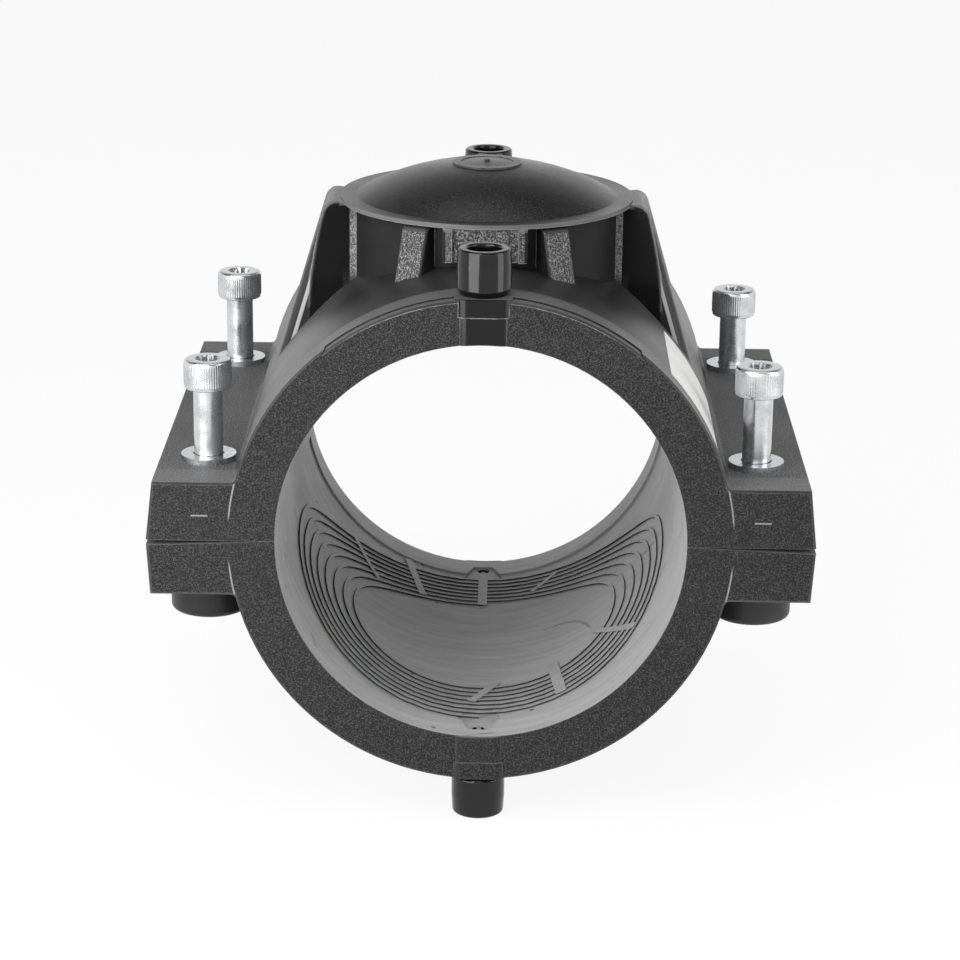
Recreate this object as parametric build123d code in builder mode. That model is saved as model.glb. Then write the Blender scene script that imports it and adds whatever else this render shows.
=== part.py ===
"""Electrofusion repair saddle for a 110 mm plastic pressure pipe.

Two half shells close round the pipe. Each holds a saddle-shaped heating spiral in its bore and has a
shrouded terminal at either end. Four socket-head screws draw the upper shell down on to threaded
inserts in the lower shell. They stand raised here, as delivered.

Frame: origin on the bore axis at mid-length, X across, Y along the pipe, Z up. Millimetres.
"""

import os
from math import asin, cos, degrees, pi, radians, sin, sqrt, tan

from build123d import *

os.makedirs("parts", exist_ok=True)

# Shells
pipe_radius = 55.0
wall = 12.5
saddle_length = 148.0
end_edge_break = 0.6
end_step_length = 3.5
end_step_depth = 0.45
end_step_angle = 38.0

# Flanges
flange_reach = 34.4
flange_land = 2.5
flange_droop = 1.4
upper_flange_height = 16.1
upper_flange_draft = 1.8
lower_flange_height = 15.3
lower_flange_draft = 0.9
flange_root_radius = 1.6

# Hub on the upper shell
hub_radius = 37.2
hub_rise = 12.0
rim_overhang = 4.0
rim_edge = 1.2
rim_land = 4.5
dome_rise = 9.5
apex_ring_radius = 9.8
apex_ring_width = 2.4
apex_ring_height = 0.45
gate_mark_radius = 0.8
gate_mark_height = 0.5
chamber_radius = 27.0
chamber_corner_radius = 9.0
dome_thickness = 16.0

# Ribs and buttresses round the hub
rib_angle = 28.0
rib_thickness = 8.0
rib_lean = 17.0
rib_set_in = 0.4
rib_corner_radius = 2.5
rib_edge_radius = 1.0
end_block_half_width = 11.4
end_block_stand = 1.5
end_block_edge = 2.4
end_block_recess = 1.0
buttress_overhang = 3.9
buttress_step = 0.4
buttress_foot_angle = 60.0
buttress_neck_half_width = 8.0
buttress_neck_length = 1.0
buttress_flare_length = 11.0
buttress_half_width = 14.0
buttress_edge_radius = 3.2
buttress_top_radius = 4.2

# Heating spirals
coil_turns = 7.5
coil_sections_per_turn = 60
coil_inner_angle = 41.0
coil_outer_angle = 73.0
coil_inner_half_length = 34.6
coil_end_margin = 15.5
coil_squareness = 2.3
wire_width = 1.0
wire_thickness = 0.45
wire_flush_depth = 0.15
wire_clearance = 0.05
zone_angle = 79.0
zone_end_margin = 12.0

# Terminals
terminal_inset = 7.5
seat_half_width = 7.4
seat_stand = 0.8
seat_corner_radius = 3.5
seat_depth = 0.4
collar_lip = 0.25
collar_height = 4.8
shroud_height = 12.3
shroud_rim_radius = 7.0
shroud_belly_radius = 7.3
shroud_belly_drop = 5.0
shroud_foot_radius = 6.4
shroud_foot_round = 1.6
shroud_bore_radius = 4.5
shroud_base = 2.9
shroud_rim_round = 0.7
spigot_radius = 5.2
spigot_length = 2.8
contact_radius = 2.0
contact_recess = 1.5
contact_tip_round = 0.5
shank_radius = 3.0
foot_width = 11.7
foot_length = 18.6
foot_thickness = 1.4
foot_clearance = 0.1
foot_inset = 5.4
foot_hole_radius = 1.8
foot_hole_depth = 2.0
lead_width = 1.2
lead_thickness = 1.0
lead_gap = 0.2

# Screws, washers and threaded inserts
screw_radius = 4.0
screw_length = 40.0
screw_raise = 18.5
rear_right_screw_raise = 15.0
screw_tip_chamfer = 0.9
head_radius = 6.5
head_height = 8.0
head_edge_radius = 0.8
socket_flats = 6.0
socket_depth = 4.0
screw_edge_distance = 15.0
screw_end_distance = 23.0
screw_hole_radius = 4.5
washer_radius = 7.5
washer_hole_radius = 4.2
washer_thickness = 1.6
insert_radius = 6.0
insert_length = 22.6
insert_recess = 1.8
insert_bore_clearance = 0.05
insert_lip_chamfer = 0.5
boss_radius = 10.8
boss_height = 11.2
boss_edge_radius = 1.6

# How near a point must lie to a plane to be chosen with it
reach_tolerance = 0.05

# Places that follow from the sizes above
outer_radius = pipe_radius + wall
half_length = saddle_length / 2
flange_edge = pipe_radius + flange_reach
screw_x = flange_edge - screw_edge_distance
screw_y = half_length - screw_end_distance
rim_radius = hub_radius + rim_overhang
rim_top = outer_radius + hub_rise
rim_underside = rim_top - rim_edge
dome_radius = rim_radius - rim_land
apex = rim_top + dome_rise
dome_sphere = (dome_radius**2 + dome_rise**2) / (2 * dome_rise)
terminal_y = half_length - terminal_inset
collar_top = outer_radius - seat_depth
collar_half_width = seat_half_width + collar_lip
collar_stand = seat_stand + collar_lip
shroud_top = collar_top + shroud_height
shank_top = collar_top + shroud_base
contact_tip = shroud_top - contact_recess
wire_inner = pipe_radius + wire_flush_depth
wire_outer = wire_inner + wire_thickness
zone_radius = wire_outer + wire_clearance
foot_y = half_length - foot_inset - foot_length / 2
foot_inner = wire_outer + foot_clearance
foot_outer = foot_inner + foot_thickness
lead_inner = zone_radius + lead_gap
lead_outer = lead_inner + lead_thickness
coil_outer_half_length = half_length - coil_end_margin
washer_top = upper_flange_height + washer_thickness
insert_top = -insert_recess
flange_drop = lower_flange_height + boss_height
upright = (Align.CENTER, Align.CENTER, Align.MIN)
hanging = (Align.CENTER, Align.CENTER, Align.MAX)
upside_down = (0, 180, 0)
corners = {
    "front_left": (-screw_x, -screw_y, screw_raise),
    "front_right": (screw_x, -screw_y, screw_raise),
    "rear_left": (-screw_x, screw_y, screw_raise),
    "rear_right": (screw_x, screw_y, rear_right_screw_raise),
}
corner_points = [(x, y) for x, y, screw_raised in corners.values()]


def spiral_point(turn_angle, radius):
    """A point of the heating spiral on a cylinder of this radius, in the lower half of the bore."""
    grown = (turn_angle / (2 * pi) - 0.25) / coil_turns
    reach_angle = coil_inner_angle + (coil_outer_angle - coil_inner_angle) * grown
    growth = coil_outer_half_length - coil_inner_half_length
    reach_length = coil_inner_half_length + growth * grown
    squared = abs(cos(turn_angle)) ** coil_squareness + abs(sin(turn_angle)) ** coil_squareness
    reach = squared ** (-1 / coil_squareness)
    angle = radians(reach_angle * reach * cos(turn_angle))
    return Vector(radius * sin(angle), reach_length * reach * sin(turn_angle), -radius * cos(angle))


def seat_plan(half_width, stand):
    """Plan of the front terminal's seat, which stands out from the end face with rounded corners."""
    front = half_length + stand
    with BuildSketch() as plan:
        with Locations((0, -(front + terminal_y) / 2)):
            Rectangle(2 * half_width, front - terminal_y)
        fillet(plan.vertices().group_by(Axis.Y)[0], seat_corner_radius)
    return plan.sketch


# Terminal seats of the upper shell: a low block on each end face with a collar round its top
with BuildPart() as terminal_seats:
    with BuildSketch(Plane.XY):
        add(seat_plan(seat_half_width, seat_stand))
    extrude(amount=collar_top)
    with BuildSketch(Plane.XY.offset(collar_top - collar_height)):
        add(seat_plan(collar_half_width, collar_stand))
    extrude(amount=collar_height)
    mirror(about=Plane.XZ)

# The flat at the crown that each shroud stands on, as a piece to cut from the upper shell
with BuildPart() as terminal_flats:
    with BuildSketch(Plane.XY.offset(collar_top)):
        add(seat_plan(collar_half_width, collar_stand))
        with Locations((0, -terminal_y)):
            Circle(collar_half_width)
    extrude(amount=wall)
    mirror(about=Plane.XZ)

# Outline of a contact's foot: a long hexagon with its side corners half-way along
with BuildSketch(Plane.XY) as foot_plan:
    with BuildLine():
        Polyline(
            (foot_width / 2, 0),
            (foot_width / 4, foot_length / 2),
            (-foot_width / 4, foot_length / 2),
            (-foot_width / 2, 0),
            (-foot_width / 4, -foot_length / 2),
            (foot_width / 4, -foot_length / 2),
            close=True,
        )
    make_face()

# The room that each terminal, its foot and its lead take out of the upper shell
shank_bottom = foot_inner + foot_thickness / 2
lead_spans = {
    "front": (-terminal_y, -coil_outer_half_length + wire_width / 2),
    "rear": (coil_inner_half_length - wire_width / 2, terminal_y),
}
with BuildPart() as terminal_pockets:
    with Locations((0, -terminal_y, collar_top), (0, terminal_y, collar_top)):
        Cylinder(spigot_radius, spigot_length, align=hanging)
        Cylinder(shank_radius, collar_top - shank_bottom, align=hanging)
    with BuildSketch(Plane.XY):
        with Locations((0, -foot_y), (0, foot_y)):
            add(foot_plan.sketch)
    extrude(amount=foot_outer)
    for span_start, span_end in lead_spans.values():
        with Locations((0, (span_start + span_end) / 2, wire_outer)):
            Box(lead_width, span_end - span_start, lead_outer - wire_outer, align=upright)

# The shallow step round each end of the outer surface, either side of the crown
with BuildPart() as end_steps:
    with BuildSketch(Plane.XZ.offset(half_length)):
        Circle(outer_radius + wall)
        Circle(outer_radius - end_step_depth, mode=Mode.SUBTRACT)
        with Locations((0, outer_radius)):
            Rectangle(
                2 * outer_radius * sin(radians(end_step_angle)),
                outer_radius,
                mode=Mode.INTERSECT,
            )
    extrude(amount=-end_step_length)
    mirror(about=Plane.XZ)

# The recess that a heating spiral lies in, as a piece to cut from a lower bore
with BuildPart() as heating_zone:
    with BuildSketch(Plane.XZ):
        with BuildLine():
            zone_arc = CenterArc((0, 0), zone_radius, -90 - zone_angle, 2 * zone_angle)
            Polyline(zone_arc @ 1, (0, 0), zone_arc @ 0)
        make_face()
    extrude(amount=half_length - zone_end_margin, both=True)

# The right-hand buttress: its outline from the front, rounded, where it meets its flared plan
foot_x = outer_radius * sin(radians(buttress_foot_angle))
foot_z = outer_radius * cos(radians(buttress_foot_angle))
buttress_top_x = rim_radius + buttress_overhang
buttress_top = rim_top - buttress_step
neck_x = hub_radius + buttress_neck_length
flare_x = neck_x + buttress_flare_length
with BuildPart() as buttress:
    with BuildSketch(Plane.XZ) as buttress_front:
        with BuildLine():
            Polyline(
                (chamber_radius, buttress_top),
                (buttress_top_x, buttress_top),
                (foot_x, foot_z),
                (foot_x * pipe_radius / outer_radius, foot_z * pipe_radius / outer_radius),
                (chamber_radius, sqrt(pipe_radius**2 - chamber_radius**2)),
                close=True,
            )
        make_face()
        top_corner = buttress_front.vertices().group_by(Axis.Y)[-1].sort_by(Axis.X)[-1]
        fillet(top_corner, buttress_top_radius)
    extrude(amount=buttress_half_width, both=True)
    side_edges = buttress.edges().filter_by(
        lambda edge: abs(edge.center().Y) > buttress_half_width - reach_tolerance
    )
    outer_edges = side_edges.filter_by(
        lambda edge: edge.center().X > buttress_top_x - buttress_top_radius
        and edge.center().Z > foot_z + buttress_top_radius
    )
    fillet(outer_edges, buttress_edge_radius)
    with BuildSketch(Plane.XY):
        with BuildLine():
            Polyline(
                (0, -buttress_neck_half_width),
                (neck_x, -buttress_neck_half_width),
                (flare_x, -buttress_half_width),
                (flange_edge, -buttress_half_width),
                (flange_edge, buttress_half_width),
                (flare_x, buttress_half_width),
                (neck_x, buttress_neck_half_width),
                (0, buttress_neck_half_width),
                close=True,
            )
        make_face()
    extrude(amount=apex, mode=Mode.INTERSECT)

# One rib, standing out along X: a leaning outline given its thickness, with rounded outer edges
rib_foot = outer_radius - wall / 2
rib_top_reach = rim_radius - rib_set_in
rib_foot_reach = rib_top_reach + (rim_underside - rib_foot) * tan(radians(rib_lean))
with BuildPart() as rib:
    with BuildSketch(Plane.XZ) as rib_outline:
        with BuildLine():
            Polyline(
                (chamber_radius, rim_underside),
                (rib_top_reach, rim_underside),
                (rib_foot_reach, rib_foot),
                (chamber_radius, rib_foot),
                close=True,
            )
        make_face()
        rib_corner = rib_outline.vertices().group_by(Axis.Y)[-1].sort_by(Axis.X)[-1]
        fillet(rib_corner, rib_corner_radius)
    extrude(amount=rib_thickness / 2, both=True)
    rib_edges = rib.edges().filter_by(
        lambda edge: abs(edge.center().Y) > rib_thickness / 2 - reach_tolerance
        and edge.center().X > rib_top_reach - rib_corner_radius
    )
    fillet(rib_edges, rib_edge_radius)

# One block that faces a terminal, clear of the shell, with a shallow panel between its edges
panel_half_width = end_block_half_width - end_block_edge
block_bottom = outer_radius + end_block_stand
with BuildPart() as end_block:
    with BuildSketch(Plane.XY.offset(block_bottom)) as block_plan:
        with Locations((0, -rib_top_reach / 2)):
            Rectangle(2 * end_block_half_width, rib_top_reach)
        fillet(block_plan.vertices().group_by(Axis.Y)[0], rib_edge_radius)
    extrude(amount=rim_underside - block_bottom)
    with Locations((0, -rib_top_reach, block_bottom)):
        Box(
            2 * panel_half_width,
            2 * end_block_recess,
            rim_underside - block_bottom,
            align=upright,
            mode=Mode.SUBTRACT,
        )

# The blind chamber inside the hub, open to the bore
with BuildPart() as chamber:
    Cylinder(chamber_radius, apex - dome_thickness, align=upright)
    fillet(chamber.edges().group_by(Axis.Z)[-1], chamber_corner_radius)

# Upper shell with its flanges, hub, dome, ribs, buttresses and terminal seats
with BuildPart() as upper_shell:
    with BuildSketch(Plane.XZ) as upper_profile:
        Circle(outer_radius)
        with BuildLine():
            Polyline(
                (-flange_edge, 0),
                (flange_edge, 0),
                (flange_edge - upper_flange_draft, upper_flange_height),
                (-flange_edge + upper_flange_draft, upper_flange_height),
                close=True,
            )
        make_face()
        with Locations((0, -outer_radius)):
            Rectangle(2 * flange_edge, 2 * outer_radius, mode=Mode.SUBTRACT)
        roots = upper_profile.vertices().filter_by(
            lambda point: abs(point.Y - upper_flange_height) < reach_tolerance and abs(point.X) < outer_radius
        )
        fillet(roots, flange_root_radius)
    extrude(amount=half_length, both=True)
    add(end_steps.part, mode=Mode.SUBTRACT)
    end_rims = upper_shell.edges().filter_by(
        lambda edge: abs(edge.center().Y) > half_length - reach_tolerance
        and edge.center().Z > reach_tolerance
    )
    chamfer(end_rims, end_edge_break)

    # Hub wall, rim and domed top
    with BuildSketch(Plane.XZ):
        with BuildLine():
            dome_half_angle = degrees(asin(dome_radius / dome_sphere))
            dome_arc = CenterArc(
                (0, apex - dome_sphere), dome_sphere, 90 - dome_half_angle, dome_half_angle
            )
            Polyline(
                dome_arc @ 0,
                (rim_radius, rim_top),
                (rim_radius, rim_underside),
                (hub_radius, rim_underside),
                (hub_radius, 0),
                (0, 0),
                dome_arc @ 1,
            )
        make_face()
    revolve(axis=Axis.Z)

    # Ribs at the front and rear quarters, and a block facing each terminal
    for end_turn in (-90, 90):
        add(rib.part, rotation=(0, 0, end_turn - rib_angle))
        add(rib.part, rotation=(0, 0, end_turn + rib_angle))
    add(end_block.part)
    add(end_block.part, rotation=(0, 0, 180))

    # Buttresses either side, and the terminal seats
    add(buttress.part)
    add(buttress.part, rotation=(0, 0, 180))
    add(terminal_seats.part)
    add(terminal_flats.part, mode=Mode.SUBTRACT)

    # Raised ring and gate mark at the apex
    ring_sag = dome_sphere - sqrt(dome_sphere**2 - apex_ring_radius**2)
    with BuildSketch(Plane.XY.offset(apex - dome_rise / 2)):
        Circle(apex_ring_radius)
        Circle(apex_ring_radius - apex_ring_width, mode=Mode.SUBTRACT)
    extrude(amount=dome_rise / 2 - ring_sag + apex_ring_height)
    with Locations((0, 0, apex - dome_rise / 2)):
        Cylinder(gate_mark_radius, dome_rise / 2 + gate_mark_height, align=upright)

    # Bore, heating recess, hub chamber, terminal pockets and screw holes
    Cylinder(pipe_radius, 2 * saddle_length, rotation=(90, 0, 0), mode=Mode.SUBTRACT)
    add(heating_zone.part, rotation=upside_down, mode=Mode.SUBTRACT)
    add(chamber.part, mode=Mode.SUBTRACT)
    add(terminal_pockets.part, mode=Mode.SUBTRACT)
    with Locations([(x, y, 0) for x, y in corner_points]):
        Cylinder(screw_hole_radius, upper_flange_height, align=upright, mode=Mode.SUBTRACT)
upper_shell.part.label = "upper_shell"
export_step(upper_shell.part, "parts/upper_shell.step")

# One boss for a threaded insert, as deep as the middle of the flange
with BuildPart() as boss:
    Cylinder(boss_radius, boss_height + lower_flange_height / 2, align=upright)
    fillet(boss.edges().group_by(Axis.Z)[0], boss_edge_radius)

# Lower shell with its drooping flanges, insert bosses and terminal seats
with BuildPart() as lower_shell:
    with BuildSketch(Plane.XZ) as lower_profile:
        Circle(outer_radius)
        with BuildLine():
            Polyline(
                (0, 0),
                (pipe_radius + flange_land, 0),
                (flange_edge, -flange_droop),
                (flange_edge - lower_flange_draft, -lower_flange_height),
                (0, -lower_flange_height),
                close=True,
            )
        make_face()
        mirror(about=Plane.YZ)
        with BuildLine():
            Polyline(
                (0, 0),
                (pipe_radius + flange_land, 0),
                (flange_edge, -flange_droop),
                (flange_edge, outer_radius),
                (-flange_edge, outer_radius),
                (-flange_edge, -flange_droop),
                (-pipe_radius - flange_land, 0),
                close=True,
            )
        make_face(mode=Mode.SUBTRACT)
        roots = lower_profile.vertices().filter_by(
            lambda point: abs(point.Y + lower_flange_height) < reach_tolerance and abs(point.X) < outer_radius
        )
        fillet(roots, flange_root_radius)
    extrude(amount=half_length, both=True)
    end_rims = lower_shell.edges().filter_by(
        lambda edge: abs(edge.center().Y) > half_length - reach_tolerance
        and edge.center().Z < -flange_droop - reach_tolerance
    )
    chamfer(end_rims, end_edge_break)

    # Bosses round the threaded inserts
    with Locations([(x, y, -flange_drop) for x, y in corner_points]):
        add(boss.part)
    add(terminal_seats.part, rotation=upside_down)
    add(terminal_flats.part, rotation=upside_down, mode=Mode.SUBTRACT)

    # Bore, heating recess, terminal pockets and insert holes
    Cylinder(pipe_radius, 2 * saddle_length, rotation=(90, 0, 0), mode=Mode.SUBTRACT)
    add(heating_zone.part, mode=Mode.SUBTRACT)
    add(terminal_pockets.part, rotation=upside_down, mode=Mode.SUBTRACT)
    with Locations([(x, y, 0) for x, y in corner_points]):
        Cylinder(
            insert_radius,
            insert_recess + insert_length,
            align=hanging,
            mode=Mode.SUBTRACT,
        )
lower_shell.part.label = "lower_shell"
export_step(lower_shell.part, "parts/lower_shell.step")

# Heating spirals: one flat wire lofted through upright sections, from the inside turn outward
section_count = round(coil_turns * coil_sections_per_turn)
turn_step = 2 * pi / coil_sections_per_turn
wire_middle = wire_inner + wire_thickness / 2
for half, rotation in (("lower", (0, 0, 0)), ("upper", upside_down)):
    with BuildPart() as coil:
        for index in range(section_count + 1):
            turn_angle = pi / 2 + index * turn_step
            middle = spiral_point(turn_angle, wire_middle)
            ahead = spiral_point(turn_angle + turn_step / 2, wire_middle)
            behind = spiral_point(turn_angle - turn_step / 2, wire_middle)
            outward = Vector(middle.X, 0, middle.Z).normalized()
            along = (ahead - behind).normalized()
            with BuildSketch(Plane(origin=middle, x_dir=along.cross(outward), z_dir=along)):
                Rectangle(wire_width, wire_thickness)
        loft(ruled=True)
    with BuildPart() as heating_coil:
        add(coil.part, rotation=rotation)
    heating_coil.part.label = f"{half}_heating_coil"
    export_step(heating_coil.part, f"parts/{half}_heating_coil.step")

# Terminal shrouds: a turned sleeve with a spigot that is pressed into the collar
with BuildPart() as shroud:
    with BuildSketch(Plane.XZ) as shroud_half:
        with BuildLine():
            Polyline(
                (shank_radius, collar_top - spigot_length),
                (spigot_radius, collar_top - spigot_length),
                (spigot_radius, collar_top),
                (shroud_foot_radius, collar_top),
                (shroud_belly_radius, collar_top + shroud_foot_round),
                (shroud_belly_radius, shroud_top - shroud_belly_drop),
                (shroud_rim_radius, shroud_top),
                (shroud_bore_radius, shroud_top),
                (shroud_bore_radius, shank_top),
                (shank_radius, shank_top),
                close=True,
            )
        make_face()
        rim_corners = shroud_half.vertices().group_by(Axis.Y)[-1]
        fillet(rim_corners, shroud_rim_round)
        belly_corner = shroud_half.vertices().filter_by(
            lambda point: point.X > shroud_belly_radius - reach_tolerance
            and point.Y < collar_top + shroud_foot_round + reach_tolerance
        )
        fillet(belly_corner, shroud_foot_round / 2)
    revolve(axis=Axis.Z)

# Contact pins: pin, shank and hexagonal foot in the bore, with a lead to the end of the spiral
for end, (span_start, span_end) in lead_spans.items():
    side = -1 if end == "front" else 1
    coil_end = span_end if end == "front" else span_start
    riser_y = coil_end + side * lead_width / 2
    with BuildPart() as contact:
        with Locations((0, side * terminal_y, shank_bottom)):
            Cylinder(shank_radius, shank_top - shank_bottom, align=upright)
        with Locations((0, side * terminal_y, shank_top)):
            Cylinder(contact_radius, contact_tip - shank_top, align=upright)
        fillet(contact.edges().group_by(Axis.Z)[-1], contact_tip_round)
        with BuildSketch(Plane.XY.offset(foot_inner)):
            with Locations((0, side * foot_y)):
                add(foot_plan.sketch)
        extrude(amount=foot_thickness)
        with Locations((0, side * terminal_y, foot_inner)):
            Cylinder(foot_hole_radius, foot_hole_depth, align=upright, mode=Mode.SUBTRACT)
        with Locations((0, (span_start + span_end) / 2, lead_inner)):
            Box(lead_width, span_end - span_start, lead_thickness, align=upright)
        with Locations((0, riser_y, wire_outer)):
            Box(lead_width, lead_width, lead_inner - wire_outer, align=upright)
    for half, rotation in (("upper", (0, 0, 0)), ("lower", upside_down)):
        with BuildPart() as contact_pin:
            add(contact.part, rotation=rotation)
        contact_pin.part.label = f"{half}_{end}_contact_pin"
        export_step(contact_pin.part, f"parts/{half}_{end}_contact_pin.step")
        with BuildPart() as terminal_shroud:
            with Locations((0, side * terminal_y, 0)):
                add(shroud.part, rotation=rotation)
        terminal_shroud.part.label = f"{half}_{end}_terminal_shroud"
        export_step(terminal_shroud.part, f"parts/{half}_{end}_terminal_shroud.step")

# Threaded inserts, washers and socket-head screws, one of each at every corner
for corner, (x, y, screw_raised) in corners.items():
    head_underside = washer_top + screw_raised
    with BuildPart(Plane(origin=(x, y, insert_top))) as insert:
        Cylinder(insert_radius, insert_length, align=hanging)
        with BuildSketch(Plane(origin=(x, y, insert_top))):
            Circle(screw_radius + insert_bore_clearance)
        extrude(amount=-insert_length, mode=Mode.SUBTRACT)
        mouth = insert.edges().group_by(Axis.Z)[-1].sort_by(SortBy.LENGTH)[0]
        chamfer(mouth, insert_lip_chamfer)
    insert.part.label = f"{corner}_threaded_insert"
    export_step(insert.part, f"parts/{corner}_threaded_insert.step")

    with BuildPart() as washer:
        with BuildSketch(Plane(origin=(x, y, upper_flange_height))):
            Circle(washer_radius)
            Circle(washer_hole_radius, mode=Mode.SUBTRACT)
        extrude(amount=washer_thickness)
    washer.part.label = f"{corner}_washer"
    export_step(washer.part, f"parts/{corner}_washer.step")

    with BuildPart() as screw:
        with BuildSketch(Plane(origin=(x, y, head_underside - screw_length))):
            Circle(screw_radius)
        extrude(amount=screw_length)
        chamfer(screw.edges().group_by(Axis.Z)[0], screw_tip_chamfer)
        with BuildSketch(Plane(origin=(x, y, head_underside))):
            Circle(head_radius)
        extrude(amount=head_height)
        fillet(screw.edges().group_by(Axis.Z)[-1], head_edge_radius)
        with BuildSketch(Plane(origin=(x, y, head_underside + head_height))):
            RegularPolygon(socket_flats / 2, 6, major_radius=False)
        extrude(amount=-socket_depth, mode=Mode.SUBTRACT)
    screw.part.label = f"{corner}_cap_screw"
    export_step(screw.part, f"parts/{corner}_cap_screw.step")
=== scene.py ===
"""Looks of the electrofusion repair saddle: black polyethylene halves, heating spirals and zinc screws.

The scene is in metres in the model's own frame: X across, Y along the pipe, Z up. Sizes of the
object are written in millimetres, and MM turns them into metres.
"""

import math

import bmesh
import bpy
from mathutils import Matrix, Vector


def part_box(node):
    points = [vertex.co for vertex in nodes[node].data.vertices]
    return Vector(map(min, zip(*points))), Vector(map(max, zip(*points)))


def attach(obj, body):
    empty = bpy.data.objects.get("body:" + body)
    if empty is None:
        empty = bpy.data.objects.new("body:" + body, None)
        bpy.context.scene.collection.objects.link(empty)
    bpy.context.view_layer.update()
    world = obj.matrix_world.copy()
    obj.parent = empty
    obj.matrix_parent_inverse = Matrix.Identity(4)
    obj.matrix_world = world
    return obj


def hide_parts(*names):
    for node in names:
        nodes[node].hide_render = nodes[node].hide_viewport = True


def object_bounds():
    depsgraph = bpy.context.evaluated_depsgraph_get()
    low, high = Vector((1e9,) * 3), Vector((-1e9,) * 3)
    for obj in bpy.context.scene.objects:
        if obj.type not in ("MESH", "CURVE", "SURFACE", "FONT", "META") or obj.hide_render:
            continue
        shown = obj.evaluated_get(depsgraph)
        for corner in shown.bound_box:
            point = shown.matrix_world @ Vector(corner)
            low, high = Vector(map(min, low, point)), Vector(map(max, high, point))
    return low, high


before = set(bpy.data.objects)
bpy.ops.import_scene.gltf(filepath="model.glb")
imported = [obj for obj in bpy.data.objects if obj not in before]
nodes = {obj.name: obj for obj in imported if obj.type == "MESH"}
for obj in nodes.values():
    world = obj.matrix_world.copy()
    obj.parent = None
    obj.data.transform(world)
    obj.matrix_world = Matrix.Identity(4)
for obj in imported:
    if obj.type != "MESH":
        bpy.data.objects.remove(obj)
cad_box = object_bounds()

MM = 0.001

# Sizes shared with the model
BORE = 55.0
OUTER = 67.5
HALF_LENGTH = 74.0


def grey(value):
    return (value, value, value)


def solid(value):
    """A grey as an opaque colour."""
    return (*grey(value), 1.0)


def greys(*stops):
    """Grey stops of a colour ramp, each given as its position and its linear grey."""
    return [(position, grey(value)) for position, value in stops]


class Graph:
    """A node tree, with short calls for the nodes used here."""

    def __init__(self, tree):
        self.tree = tree

    def add(self, kind, **settings):
        made = self.tree.nodes.new(kind)
        for key, value in settings.items():
            setattr(made, key, value)
        return made

    def feed(self, socket, value):
        """Links a socket or sets a plain value."""
        if isinstance(value, bpy.types.NodeSocket):
            self.tree.links.new(value, socket)
        else:
            socket.default_value = value

    def math(self, operation, first, second=0.0):
        made = self.add("ShaderNodeMath", operation=operation)
        self.feed(made.inputs[0], first)
        self.feed(made.inputs[1], second)
        return made.outputs[0]

    def product(self, first, *others):
        for other in others:
            first = self.math("MULTIPLY", first, other)
        return first

    def total(self, first, *others):
        for other in others:
            first = self.math("ADD", first, other)
        return first

    def greatest(self, first, *others):
        for other in others:
            first = self.math("MAXIMUM", first, other)
        return first

    def all_but(self, value):
        """1 where value is 0, and 0 where it is 1."""
        return self.math("SUBTRACT", 1.0, value)

    def away_from(self, value, middle):
        """How far value is from middle, either way."""
        return self.math("ABSOLUTE", self.math("SUBTRACT", value, middle))

    def radius(self, first, second):
        """Distance from an axis, from the two coordinates across it."""
        return self.math("SQRT", self.total(self.product(first, first), self.product(second, second)))

    def fade(self, value, low, high, to_low=0.0, to_high=1.0):
        """A smooth step of value from low to high."""
        made = self.add("ShaderNodeMapRange", interpolation_type="SMOOTHSTEP")
        self.feed(made.inputs["Value"], value)
        self.feed(made.inputs["From Min"], low)
        self.feed(made.inputs["From Max"], high)
        self.feed(made.inputs["To Min"], to_low)
        self.feed(made.inputs["To Max"], to_high)
        return made.outputs["Result"]

    def beyond(self, length, edge, soft):
        """1 where a length passes this edge, over a soft width. Both are in millimetres."""
        return self.fade(length, edge * MM, (edge + soft) * MM)

    def within(self, length, edge, soft):
        """1 where a length falls short of this edge, over a soft width. Both are in millimetres."""
        return self.fade(length, edge * MM, (edge - soft) * MM)

    def axes(self, socket):
        made = self.add("ShaderNodeSeparateXYZ")
        self.feed(made.inputs[0], socket)
        return made.outputs

    def seen_directly(self):
        """1 for what the camera sees, also in metal and through glass, and 0 for what only lights."""
        path = self.add("ShaderNodeLightPath").outputs
        return self.greatest(path["Is Camera Ray"], path["Is Glossy Ray"], path["Is Transmission Ray"])


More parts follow.
